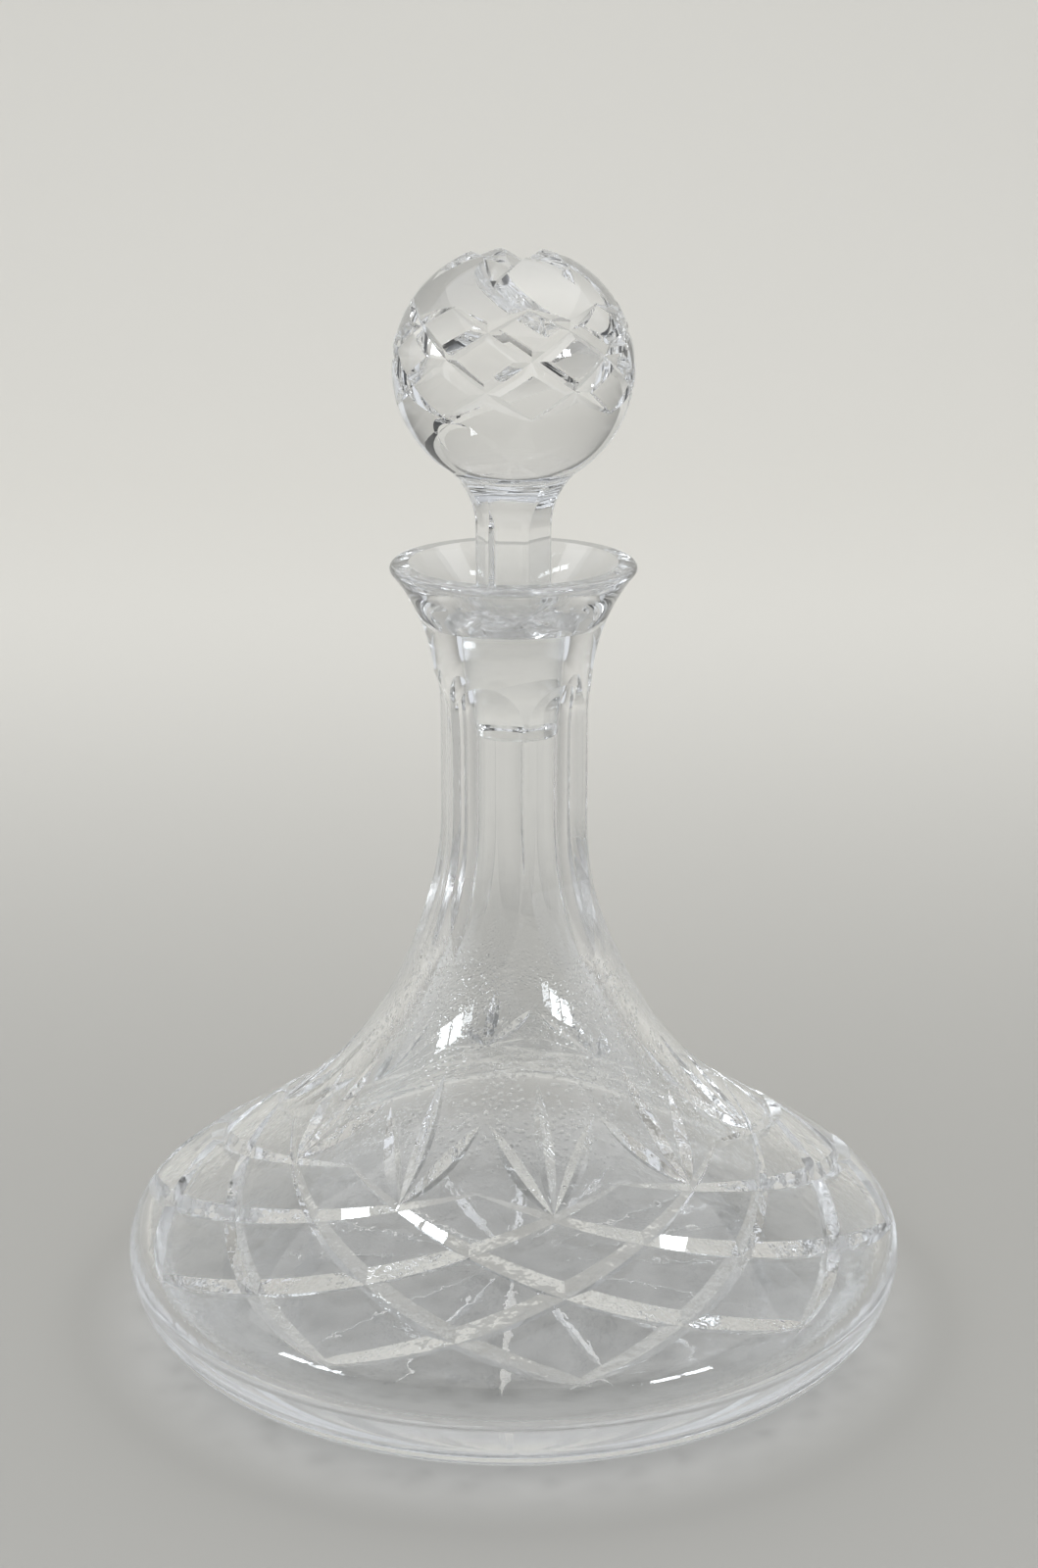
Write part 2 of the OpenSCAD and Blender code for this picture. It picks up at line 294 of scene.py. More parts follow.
class ShapeTree(NodeSheet):
    """A geometry node tree with named inputs and one geometry output."""

    def __init__(self, name: str) -> None:
        """Start an empty tree.

        Args:
            name: Name of the tree.
        """
        tree = bpy.data.node_groups.new(name, "GeometryNodeTree")
        tree.interface.new_socket("Geometry", in_out="OUTPUT", socket_type=Ask.GEOMETRY.value)
        super().__init__(tree)
        self.entry = tree.nodes.new("NodeGroupInput")
        self.exit = tree.nodes.new("NodeGroupOutput")

    def ask(self, name: str, kind: Ask) -> Wire:
        """Add a named input and hand back its value inside the tree."""
        self.tree.interface.new_socket(name, in_out="INPUT", socket_type=kind.value)
        return Wire(self, self.entry.outputs[name])

    def asks(self, kind: Ask, *names: str) -> list[Wire]:
        """Add several named inputs of one kind."""
        return [self.ask(name, kind) for name in names]

    def close(self, geometry: Wire) -> None:
        """Hand geometry to the output."""
        self.join(geometry, self.exit.inputs["Geometry"])

    def finish(self, geometry: Wire, material: Wire) -> None:
        """End a tree that makes a piece: realise its instances and set its material."""
        real = self.node("GeometryNodeRealizeInstances", None, {"Geometry": geometry})
        self.close(self.node("GeometryNodeSetMaterial", None, {"Geometry": real, "Material": material}))

    def use(self, tree: "ShapeTree", values: dict[str, Any]) -> Wire:
        """Use another tree, with values for its inputs, as one node of this one."""
        return self.node("GeometryNodeGroup", {"node_tree": tree.tree}, values)

    def make(self, name: str, base: bpy.types.Mesh, values: dict[str, Any]) -> bpy.types.Object:
        """Run the tree on a base mesh and keep the result as a plain mesh.

        Args:
            name: Name of the finished object.
            base: Mesh that the tree starts from.
            values: Values for the named inputs.

        Returns:
            The finished object, with no modifier left on it.
        """
        host = stand(name + "_host", base)
        modifier = host.modifiers.new("shape", "NODES")
        modifier.node_group = self.tree
        for item in self.tree.interface.items_tree:
            if item.in_out == "INPUT" and item.name in values:
                modifier[item.identifier] = values[item.name]
        graph = bpy.context.evaluated_depsgraph_get()
        mesh = bpy.data.meshes.new_from_object(host.evaluated_get(graph), depsgraph=graph)
        mesh.name = name
        bpy.data.objects.remove(host)
        return stand(name, mesh)


class Outline:
    """Half outline of a turned piece: points of radius and height, in millimetres."""

    def __init__(self, chord: float, turn: float) -> None:
        """Start an empty outline.

        Args:
            chord: Longest step along a round.
            turn: Largest turn of one step along a round, in degrees.
        """
        self.chord = chord
        self.turn = turn
        self.points: list[Pair] = []
        self.inner_from = NO_POINT

    def go_inside(self) -> None:
        """Count every point from here on as part of the inner wall."""
        self.inner_from = len(self.points)

    def to(self, *places: Pair) -> "Outline":
        """Go straight to each place in turn, and hand back the outline itself."""
        self.points.extend(places)
        return self

    def round(self, middle: Pair, radius: float, start: float, end: float) -> "Outline":
        """Go along a round, with both of its ends.

        Args:
            middle: Middle of the round.
            radius: Its radius.
            start: Angle at which it starts, in degrees from outward.
            end: Angle at which it ends.

        Returns:
            The outline itself.
        """
        sweep = math.radians(abs(end - start))
        steps = math.ceil(max(sweep * radius / self.chord, math.degrees(sweep) / self.turn))
        for i in range(steps + 1):
            angle = math.radians(start + (end - start) * i / steps)
            place = (middle[0] + radius * math.cos(angle), middle[1] + radius * math.sin(angle))
            if not self.points or math.dist(place, self.points[-1]) > SAME:
                self.points.append(place)
        return self

    def mesh(self, name: str) -> bpy.types.Mesh:
        """The outline as a chain of edges, in metres.

        Args:
            name: Name of the mesh.

        Returns:
            The mesh.
        """
        made = bpy.data.meshes.new(name)
        spots = [(max(r, 0.0) * MM, 0.0, z * MM) for r, z in self.points]
        made.from_pydata(spots, [(i, i + 1) for i in range(len(spots) - 1)], [])
        return made


@dataclass(frozen=True)
class Groove:
    """A family of flat-sided grooves, each along a round through three places. Lengths are millimetres."""

    start: Vector
    middle: Vector
    end: Vector
    out: Vector
    half: float
    depth: float
    count: int
    step: float
    turn: float
    past: float = 3.0
    reach: float = 4.0
    points: int = 40

    def values(self) -> dict[str, Any]:
        """Work out the ring that the groove's bottom lies on.

        Returns:
            Values for the groove tree's inputs, in metres and radians.
        """
        u = self.middle - self.start
        v = self.end - self.start
        w = u.cross(v)
        way = w.cross(u) * v.length_squared + v.cross(w) * u.length_squared
        hub = self.start + way / (2 * w.length_squared)
        axis = w.normalized()
        more = self.past / (self.start - hub).length
        spoke = (self.middle - hub).normalized()
        tall = self.reach * self.depth
        return {
            "Start": hub * MM + Matrix.Rotation(-more, 3, axis) @ (self.start - hub) * MM,
            "Middle": self.middle * MM,
            "End": hub * MM + Matrix.Rotation(more, 3, axis) @ (self.end - hub) * MM,
            "Hub": hub * MM,
            "Axis": axis,
            "Lean": math.atan2(self.out.dot(axis), self.out.dot(spoke)),
            "Height": tall * MM,
            "Side": tall * math.tan(math.radians(self.half)) * MM,
            "Points": self.points,
            "Count": self.count,
            "Step": math.radians(self.step),
            "Turn": math.radians(self.turn),
        }


@dataclass(frozen=True)
class Flute:
    """A family of long cuts, straight in the middle, with a round at each end. Lengths are millimetres."""

    flat: float
    low: float
    top: float
    low_tip: Pair
    top_tip: Pair
    width: float
    count: int
    turn: float
    points: int = 90

    def values(self) -> dict[str, Any]:
        """Work out the two rounds at the ends.

        Returns:
            Values for the flute tree's inputs, in metres and radians.
        """
        past = self.width / 4
        return {
            "Flat": self.flat * MM,
            "Low": self.low * MM,
            "Top": self.top * MM,
            "Low round": self.run_out(self.low_tip, self.low) * MM,
            "Top round": self.run_out(self.top_tip, self.top) * MM,
            "Foot": (self.low_tip[1] - past) * MM,
            "Head": (self.top_tip[1] + past) * MM,
            "Width": self.width * MM,
            "Points": self.points,
            "Count": self.count,
            "Step": 2 * math.pi / self.count,
            "Turn": math.radians(self.turn),
        }

    def run_out(self, tip: Pair, level: float) -> float:
        """Radius of the round from the end of the straight stretch, at this level, to a tip."""
        rise = tip[0] - self.flat
        return (rise**2 + (tip[1] - level) ** 2) / (2 * rise)


class Lathe:
    """The shape trees that turn an outline and grind cuts into it."""

    def __init__(self) -> None:
        """Write the trees that every piece uses."""
        self.groove_tree = self.write_groove()
        self.flute_tree = self.write_flute()
        self.turn_tree = self.write_turn()

    def write_turn(self) -> ShapeTree:
        """The tree that turns an outline round the axis.

        Returns:
            The tree, with inputs Outline, Steps and Inner from.
        """
        tree = ShapeTree("turned_glass")
        outline = tree.ask("Outline", Ask.GEOMETRY)
        steps, inner = tree.asks(Ask.COUNT, "Steps", "Inner from")
        size = tree.node("GeometryNodeAttributeDomainSize", None, {"Geometry": outline}, "Point Count")
        row = steps + 1
        grid = tree.node("GeometryNodeMeshGrid", None, {"Vertices X": size, "Vertices Y": row})
        index = tree.node("GeometryNodeInputIndex")
        level = tree.call("FLOOR", (index + 0.5) / row)
        place = tree.node(
            "GeometryNodeSampleIndex",
            {"data_type": "FLOAT_VECTOR", "domain": "POINT"},
            {"Geometry": outline, "Value": tree.node("GeometryNodeInputPosition"), "Index": level},
        )
        angle = (index % row) / steps * (2 * math.pi)
        radius = tree.part(place, "X")
        spot = tree.vector(
            radius * tree.call("SINE", angle), radius * tree.call("COSINE", angle) * -1, tree.part(place, "Z")
        )
        shell = tree.node("GeometryNodeSetPosition", None, {"Geometry": grid, "Position": spot})
        shell = tree.node(
            "GeometryNodeStoreNamedAttribute", {"data_type": "FLOAT", "domain": "POINT"},
            {"Geometry": shell, "Name": INSIDE, "Value": level > inner - 0.5},
        )
        closed = tree.node("GeometryNodeMergeByDistance", None, {"Geometry": shell, "Distance": SAME})
        tree.close(self.smooth(tree, tree.node("GeometryNodeFlipFaces", None, {"Mesh": closed})))
        return tree

    def smooth(self, tree: ShapeTree, mesh: Wire) -> Wire:
        """Shade a mesh smooth apart from its sharp edges.

        Args:
            tree: The tree to write into.
            mesh: The mesh.

        Returns:
            The shaded mesh.
        """
        angle = tree.node("GeometryNodeInputMeshEdgeAngle")
        whole = {"Geometry": mesh, "Shade Smooth": True}
        soft = tree.node("GeometryNodeSetShadeSmooth", {"domain": "FACE"}, whole)
        return tree.node(
            "GeometryNodeSetShadeSmooth", {"domain": "EDGE"},
            {"Geometry": soft, "Selection": angle > SHARP, "Shade Smooth": False},
        )

    def spread(self, tree: ShapeTree, path: Wire, normal: Operand, profile: Wire) -> None:
        """End a tree of cutters: draw a profile along a path and set copies round the axis.

        Args:
            tree: The tree to write into.
            path: The path of the cutter at the front.
            normal: The way that the profile's first axis looks.
            profile: The outline that is drawn along the path.
        """
        path = tree.node("GeometryNodeSetCurveNormal", {"mode": "FREE"}, {"Curve": path, "Normal": normal})
        cutter = tree.node(
            "GeometryNodeCurveToMesh", None, {"Curve": path, "Profile Curve": profile, "Fill Caps": True}
        )
        count = tree.ask("Count", Ask.COUNT)
        step, turn = tree.asks(Ask.LENGTH, "Step", "Turn")
        angle = turn + tree.node("GeometryNodeInputIndex") * step
        spin = tree.node("FunctionNodeAxisAngleToRotation", None, {"Axis": (0, 0, 1), "Angle": angle})
        tree.close(tree.node(
            "GeometryNodeInstanceOnPoints", None,
            {
                "Points": tree.node("GeometryNodePoints", None, {"Count": count}),
                "Instance": self.smooth(tree, cutter),
                "Rotation": spin,
            },
        ))

    def write_groove(self) -> ShapeTree:
        """The tree that makes a family of grooves' cutters.

        Returns:
            The tree, with the inputs that Groove gives.
        """
        tree = ShapeTree("groove_cutters")
        ends = {name: tree.ask(name, Ask.PLACE) for name in ("Start", "Middle", "End")}
        hub, axis = tree.asks(Ask.PLACE, "Hub", "Axis")
        lean, tall, side = tree.asks(Ask.LENGTH, "Lean", "Height", "Side")
        points = tree.ask("Points", Ask.COUNT)
        path = tree.node("GeometryNodeCurveArc", {"mode": "POINTS"}, {"Resolution": points, **ends})
        spoke = tree.unit(tree.node("GeometryNodeInputPosition") - hub)
        out = spoke * tree.call("COSINE", lean) + axis * tree.call("SINE", lean)
        wedge = tree.node(
            "GeometryNodeCurvePrimitiveQuadrilateral", {"mode": "POINTS"},
            {"Point 1": (0, 0, 0), "Point 2": tree.vector(tall, side * -1, 0),
             "Point 3": tree.vector(tall, 0, 0), "Point 4": tree.vector(tall, side, 0)},
        )
        self.spread(tree, path, out, wedge)
        return tree

    def write_flute(self) -> ShapeTree:
        """The tree that makes a family of flutes' cutters.

        Returns:
            The tree, with the inputs that Flute gives.
        """
        tree = ShapeTree("flute_cutters")
        flat, low, top, low_round, top_round, foot, head, width = tree.asks(
            Ask.LENGTH, "Flat", "Low", "Top", "Low round", "Top round", "Foot", "Head", "Width"
        )
        points = tree.ask("Points", Ask.COUNT)
        index = tree.node("GeometryNodeInputIndex")
        last = points - 1
        share = tree.maths("MINIMUM", index, last) / last * (index < points + 0.5)
        height = head + (foot - head) * share
        rise = self.swell(tree, low - height, low_round) + self.swell(tree, height - top, top_round)
        outside = index > last + 0.5
        reach = flat + rise * (1 - outside) + width * outside
        ring = tree.node("GeometryNodeCurvePrimitiveCircle", None, {"Resolution": points + 2})
        edge = tree.node(
            "GeometryNodeSetPosition", None, {"Geometry": ring, "Position": tree.vector(reach, height, 0)}
        )
        half = width / 2
        path = tree.node(
            "GeometryNodeCurvePrimitiveLine", {"mode": "POINTS"},
            {"Start": tree.vector(half, 0, 0), "End": tree.vector(half * -1, 0, 0)},
        )
        self.spread(tree, path, (0, -1, 0), edge)
        return tree

    def swell(self, tree: ShapeTree, past: Wire, radius: Wire) -> Wire:
        """How far a round rises past the end of a straight stretch.

        Args:
            tree: The tree to write into.
            past: Distance past the end, negative before it.
            radius: Radius of the round.

        Returns:
            The rise, zero before the end.
        """
        over = tree.maths("MAXIMUM", past, 0.0)
        left = tree.maths("MAXIMUM", radius * radius - over * over, 0.0)
        return radius - tree.call("SQRT", left)

    def grind(
        self,
        name: str,
        outline: Outline,
        steps: int,
        cuts: Sequence[Union[Groove, Flute]],
        material: bpy.types.Material,
    ) -> bpy.types.Object:
        """Turn an outline and grind its cuts, one family after another.

        Args:
            name: Name of the piece.
            outline: Half outline before the cuts.
            steps: Number of facets round the axis.
            cuts: Families of cuts, in the order of grinding.
            material: Material of the piece.

        Returns:
            The finished piece.
        """
        tree = ShapeTree(name + "_shape")
        base = tree.ask("Geometry", Ask.GEOMETRY)
        count, inner = tree.asks(Ask.COUNT, "Steps", "Inner from")
        glass = tree.ask("Glass", Ask.MATERIAL)
        body = tree.use(self.turn_tree, {"Outline": base, "Steps": count, "Inner from": inner})
        for cut in cuts:
            maker = self.groove_tree if isinstance(cut, Groove) else self.flute_tree
            cutters = tree.use(maker, cut.values())
            body = tree.node(
                "GeometryNodeMeshBoolean", {"operation": "DIFFERENCE", "solver": "MANIFOLD"},
                {"Mesh 1": body, "Mesh 2": cutters},
            )
        tree.finish(self.smooth(tree, body), glass)
        values = {"Steps": steps, "Glass": material, "Inner from": outline.inner_from}
        return tree.make(name, outline.mesh(name + "_outline"), values)


def place(turn: float, radius: float, height: float) -> Vector:
    """A place round the axis, at a turn in degrees from the front towards +X."""
    angle = math.radians(turn)
    return Vector((radius * math.sin(angle), -radius * math.cos(angle), height))


def facing(turn: float, tilt: float) -> Vector:
    """A direction of length one, at a turn from the front and a tilt above level, in degrees."""
    up = math.radians(tilt)
    return place(turn, math.cos(up), math.sin(up))


def along(start: Pair, way: Pair, distance: float) -> Pair:
    """The place at a distance from another, one way."""
    return (start[0] + way[0] * distance, start[1] + way[1] * distance)


@dataclass
class Neck:
    """Sizes of the neck, its mouth and the seat in it, in millimetres."""

    radius: float = 17.4
    bore: float = 10.0
    straight: float = 27.5
    flare_h: float = 29.0
    rim_z: float = 178.5
    rim_r: float = 27.2
    rim_round: float = 1.2
    lip_w: float = 4.4
    lip_edge: float = 0.3
    seat_drop: float = 12.5
    seat_l: float = 28.5
    seat_taper: float = 12.0


@dataclass
class DecanterBody:
    """The bottle: a turned bowl, shoulder and neck, with the cuts ground into them. Sizes are millimetres."""

    neck: Neck = field(default_factory=Neck)
    radius: float = 90.0
    belt_z: float = 18.0
    foot_inset: float = 16.0
    shoulder_round: float = 11.0
    tilt: float = 57.0
    wall: float = 5.5
    cut_turn: float = 9.0
    repeats: int = 10
    groove_half: float = 50.0
    groove_depth: float = 1.6
    groove_lean: float = 10.0
    leaf_half: float = 50.0
    groove_steps: float = 2.5
    groove_mid: Pair = (0.528, 0.6)
    band_rise: float = 6.0
    band_h: float = 26.5
    tip_cross: float = 0.05
    fan_foot: float = 23.0
    fan_h: float = 22.5
    fan_side_h: float = 14.5
    fan_spread: float = 0.46
    leaf_depth: float = 1.7
    flute_count: int = 6
    flute_depth: float = 2.1
    flute_low: float = 69.0
    flute_high: float = 4.5
    star_rays: int = 16
    star_depth: float = 1.0
    star_r: float = 62.0
    star_eye: float = 9.0
    steps: int = 240
    chord: float = 1.6
    arc: float = 4.0
    groove_points: int = 64

    def __post_init__(self) -> None:
        """Work out the rounds that flow into each other."""
        neck = self.neck
        angle = math.radians(self.tilt)
        self.slope_way: Pair = (math.cos(angle), math.sin(angle))
        self.round_c: Pair = (self.radius - self.shoulder_round, self.belt_z)
        self.belt_round = (self.foot_inset**2 + self.belt_z**2) / (2 * self.foot_inset)
        self.slope_foot = along(self.round_c, self.slope_way, self.shoulder_round)
        self.flare_z = neck.rim_z - neck.flare_h
        self.sweep_z = self.flare_z - neck.straight
        self.sweep = self.sweep_of(neck.radius, self.slope_foot)
        self.sweep_c: Pair = (neck.radius + self.sweep, self.sweep_z)
        self.slope_top = along(self.sweep_c, self.slope_way, -self.sweep)
        self.rim_c: Pair = (neck.rim_r - neck.rim_round, neck.rim_z - neck.rim_round)
        flare_in = self.rim_c[0] - neck.radius
        flare_up = self.rim_c[1] - self.flare_z
        self.flare = (flare_in**2 + flare_up**2 - neck.rim_round**2) / (2 * (flare_in + neck.rim_round))
        self.flare_c: Pair = (neck.radius + self.flare, self.flare_z)
        self.band_z = self.belt_z + self.band_rise

    def sweep_of(self, radius: float, foot: Pair) -> float:
        """Radius of the long round from a slope into an upright wall.

        Args:
            radius: Radius of the wall.
            foot: A place on the slope.

        Returns:
            The radius of the round.
        """
        way = self.slope_way
        gap = way[0] * (radius - foot[0]) + way[1] * (self.sweep_z - foot[1])
        return gap / (1 - way[0])

    def outer(self, outline: Outline) -> None:
        """Draw the outer face, from the middle of the foot up to the rim.

        Args:
            outline: The outline to draw on.
        """
        neck = self.neck
        belt_c = (self.radius - self.belt_round, self.belt_z)
        foot = -math.degrees(math.asin(self.belt_z / self.belt_round))
        lean = math.degrees(math.atan2(self.rim_c[1] - self.flare_c[1], self.rim_c[0] - self.flare_c[0]))
        outline.to((0.0, 0.0), (self.star_eye / 2, 0.0), (self.star_r, 0.0))
        outline.round(belt_c, self.belt_round, foot, 0.0)
        outline.round(self.round_c, self.shoulder_round, 0.0, self.tilt)
        outline.round(self.sweep_c, self.sweep, 180.0 + self.tilt, 180.0)
        outline.round(self.flare_c, self.flare, 180.0, lean)
        outline.round(self.rim_c, neck.rim_round, lean - 180.0, 90.0)
        outline.to((neck.rim_r - neck.lip_w + neck.lip_edge, neck.rim_z))

    def inner(self, outline: Outline) -> None:
        """Draw the inner face, from the rim down to the middle of the floor.

        Args:
            outline: The outline to draw on.
        """
        neck = self.neck
        seat_top = neck.rim_z - neck.seat_drop
        seat_low = seat_top - neck.seat_l
        foot = along(self.slope_foot, self.slope_way, -self.wall)
        sweep = self.sweep_of(neck.bore, foot)
        round_in = self.shoulder_round - self.wall
        outline.go_inside()
        outline.to((neck.rim_r - neck.lip_w, neck.rim_z - neck.lip_edge))
        outline.to((neck.bore + neck.seat_l / (2 * neck.seat_taper), seat_top), (neck.bore, seat_low))
        outline.round((neck.bore + sweep, self.sweep_z), sweep, 180.0, 180.0 + self.tilt)
        outline.round(self.round_c, round_in, self.tilt, -90.0)
        outline.to((0.0, self.belt_z - round_in))

    def face_at(self, height: float) -> Pair:
        """The outer face before the cuts.

        Args:
            height: Height above the table.

        Returns:
            Its radius there, and the degrees above level at which it looks.
        """
        if height < self.slope_foot[1]:
            up = height - self.belt_z
            tilt = math.degrees(math.asin(up / self.shoulder_round))
            return self.round_c[0] + math.sqrt(self.shoulder_round**2 - up**2), tilt
        if height < self.slope_top[1]:
            up = height - self.slope_foot[1]
            return self.slope_foot[0] - up * math.tan(math.radians(self.tilt)), self.tilt
        if height < self.sweep_z:
            down = self.sweep_z - height
            tilt = math.degrees(math.asin(down / self.sweep))
            return self.sweep_c[0] - math.sqrt(self.sweep**2 - down**2), tilt
        if height < self.flare_z:
            return self.neck.radius, 0.0
        return self.flare_c[0] - math.sqrt(self.flare**2 - (height - self.flare_z) ** 2), 0.0

    def on_face(self, turn: float, height: float, depth: float = 0.0) -> Vector:
        """A place on the outer face, or at a depth under it."""
        radius, tilt = self.face_at(height)
        return place(turn, radius, height) - depth * facing(turn, tilt)

    def long_grooves(self, way: Way) -> Groove:
        """The long grooves that climb one way round.

        Args:
            way: Which way they climb.

        Returns:
            The family of grooves.
        """
        step = way.value * 360 / self.repeats
        middle = self.on_face(
            self.groove_mid[0] * self.groove_steps * step,
            self.band_z + self.groove_mid[1] * self.band_h,
            self.groove_depth,
        )
        return Groove(
            start=self.on_face(-self.tip_cross * step, self.band_z),
            middle=middle,
            end=self.on_face((self.groove_steps + self.tip_cross) * step, self.band_z + self.band_h),
            out=facing(self.groove_steps / 2 * step, self.tilt + self.groove_lean),
            half=self.groove_half,
            depth=self.groove_depth,
            count=self.repeats,
            step=step,
            turn=self.cut_turn,
            points=self.groove_points,
        )

    def fan_leaves(self, share: float, rise: float) -> Groove:
        """One leaf of each fan above the diamonds.

        Args:
            share: Share of a step by which the leaf leans.
            rise: Height of the leaf.

        Returns:
            The family of leaves.
        """
        step = 360 / self.repeats
        low = self.band_z + self.fan_foot
        half_way = (share * step / 2, low + rise / 2)
        return Groove(
            start=self.on_face(0.0, low),
            middle=self.on_face(*half_way, self.leaf_depth),
            end=self.on_face(share * step, low + rise),
            out=facing(half_way[0], self.face_at(half_way[1])[1]),
            half=self.leaf_half,
            depth=self.leaf_depth,
            count=self.repeats,
            step=step,
            turn=self.cut_turn,
        )

    def flutes(self) -> Flute:
        """The flutes round the neck.

        Returns:
            The family of flutes.
        """
        low = self.belt_z + self.flute_low
        top = self.flare_z + self.flute_high
        return Flute(
            flat=self.neck.radius - self.flute_depth,
            low=self.sweep_z - self.flute_high / 2,
            top=self.flare_z - self.flute_high,
            low_tip=(self.face_at(low)[0], low),
            top_tip=(self.face_at(top)[0], top),
            width=2 * self.neck.radius,
            count=self.flute_count,
            turn=self.cut_turn + 180 / self.flute_count,
        )

    def base_star(self) -> Groove:
        """The star under the foot.

        Returns:
            The family of rays.
        """
        return Groove(
            start=place(0.0, self.star_eye, 0.0),
            middle=place(0.0, (self.star_eye + self.star_r) / 2, self.star_depth),
            end=place(0.0, self.star_r, 0.0),
            out=Vector((0.0, 0.0, -1.0)),
            half=self.leaf_half,
            depth=self.star_depth,
            count=self.star_rays,
            step=360 / self.star_rays,
            turn=self.cut_turn + 180 / self.star_rays,
        )

    def build(self, lathe: Lathe, material: bpy.types.Material) -> bpy.types.Object:
        """Turn and cut the bottle.

        Args:
            lathe: The shape trees.
            material: The glass.

        Returns:
            The finished bottle.
        """
        outline = Outline(self.chord, self.arc)
        self.outer(outline)
        self.inner(outline)
        cuts = [
            self.flutes(),
            self.base_star(),
            self.fan_leaves(0.0, self.fan_h),
            self.fan_leaves(self.fan_spread, self.fan_side_h),
            self.fan_leaves(-self.fan_spread, self.fan_side_h),
            self.long_grooves(Way.RIGHT),
            self.long_grooves(Way.LEFT),
        ]
        return lathe.grind("bottle_glass", outline, self.steps, cuts, material)


@dataclass
class Stopper:
    """The stopper: a cut ball on a six-sided stem with a tapered plug. Sizes are millimetres."""

    neck: Neck = field(default_factory=Neck)
    ball_r: float = 26.2
    ball_rise: float = 42.5
    stem_r: float = 8.4
    stem_rise: float = 8.0
    seat_gap: float = 0.3
    plug_proud: float = 1.0
    plug_short: float = 3.0
    plug_edge: float = 0.8
    plug_neck: float = 4.0
    cut_turn: float = 9.0
    repeats: int = 8
    ball_half: float = 52.0
    ball_groove: float = 1.9
    ball_low: float = -17.0
    ball_mid: float = 11.0
    ball_high: float = 36.0
    ball_steps: float = 2.0
    tip_cross: float = 0.05
    stopper_turn: float = 37.5
    crown_cuts: int = 6
    crown_half: float = 55.0
    crown_depth: float = 5.5
    crown_mid: float = 3.4
    crown_tip: float = 47.0
    stem_sides: int = 6
    side_depth: float = 0.9
    side_lead: float = 1.0
    side_drop: float = 20.0
    crown_past: float = 1.0
    steps: int = 192
    chord: float = 0.9
    arc: float = 3.0

    def __post_init__(self) -> None:
        """Work out the heights and the round under the ball."""
        neck = self.neck
        self.seat_low = neck.rim_z - neck.seat_drop - neck.seat_l
        self.plug_low = self.seat_low + self.plug_short
        self.plug_top = neck.rim_z - neck.seat_drop + self.plug_proud
        self.ball_z = neck.rim_z + self.ball_rise
        self.stem_z = neck.rim_z + self.stem_rise
        up = self.ball_z - self.stem_z
        self.stem_round = (self.stem_r**2 + up**2 - self.ball_r**2) / (2 * (self.ball_r - self.stem_r))
        self.stem_c: Pair = (self.stem_r + self.stem_round, self.stem_z)

    def plug_r(self, height: float) -> float:
        """Radius of the plug at a height, one gap inside the seat."""
        return self.neck.bore + (height - self.seat_low) / (2 * self.neck.seat_taper) - self.seat_gap

    def draw(self, outline: Outline) -> None:
        """Draw the outer face, from the middle of the plug's foot to the top of the ball.

        Args:
            outline: The outline to draw on.
        """
        bevel = self.plug_low + self.plug_edge
        lean = math.degrees(math.atan2(self.ball_z - self.stem_z, -self.stem_c[0]))
        outline.to(
            (0.0, self.plug_low),
            (self.plug_r(self.plug_low) - self.plug_edge, self.plug_low),
            (self.plug_r(bevel), bevel),
            (self.plug_r(self.plug_top), self.plug_top),
            (self.stem_r, self.plug_top + self.plug_neck),
        )
        outline.round(self.stem_c, self.stem_round, 180.0, lean)
        outline.round((0.0, self.ball_z), self.ball_r, lean - 180.0, 90.0)

    def on_ball(self, turn: float, latitude: float, depth: float = 0.0) -> Vector:
        """A place on the ball's face, or at a depth under it."""
        return Vector((0.0, 0.0, self.ball_z)) + (self.ball_r - depth) * facing(turn, latitude)

    def ball_grooves(self, way: Way) -> Groove:
        """The grooves of the ball's band that climb one way round.

        Args:
            way: Which way they climb.

        Returns:
            The family of grooves.
        """
        step = way.value * 360 / self.repeats
        half_way = self.ball_steps / 2 * step
        return Groove(
            start=self.on_ball(-self.tip_cross * step, self.ball_low),
            middle=self.on_ball(half_way, self.ball_mid, self.ball_groove),
            end=self.on_ball((self.ball_steps + self.tip_cross) * step, self.ball_high),
            out=facing(half_way, self.ball_mid),
            half=self.ball_half,
            depth=self.ball_groove,
            count=self.repeats,
            step=step,
            turn=self.cut_turn,
        )

    def crown_star(self) -> Groove:
        """The star on top of the ball.

        Returns:
            The family of cuts.
        """
        half_way = (90 + self.crown_tip) / 2
        return Groove(
            start=self.on_ball(0.0, 90.0, self.crown_depth),
            middle=self.on_ball(0.0, half_way, self.crown_mid),
            end=self.on_ball(0.0, self.crown_tip),
            out=facing(0.0, half_way),
            half=self.crown_half,
            depth=self.crown_mid,
            count=self.crown_cuts,
            step=360 / self.crown_cuts,
            turn=self.cut_turn + self.stopper_turn,
            past=self.crown_past,
        )

    def stem_cuts(self) -> Flute:
        """The sides of the stem.

        Returns:
            The family of cuts.
        """
        low = ((self.plug_r(self.plug_top) + self.stem_r) / 2, self.plug_top + self.plug_neck / 2)
        top = self.ball_z - self.side_drop
        meet = self.ball_z - self.ball_r * (self.ball_z - self.stem_z) / (self.ball_r + self.stem_round)
        if top < meet:
            reach = self.stem_c[0] - math.sqrt(self.stem_round**2 - (top - self.stem_z) ** 2)
        else:
            reach = math.sqrt(self.ball_r**2 - self.side_drop**2)
        return Flute(
            flat=self.stem_r - self.side_depth,
            low=low[1] + self.plug_neck,
            top=self.stem_z - self.side_lead,
            low_tip=low,
            top_tip=(reach, top),
            width=self.ball_r,
            count=self.stem_sides,
            turn=self.cut_turn + self.stopper_turn,
        )

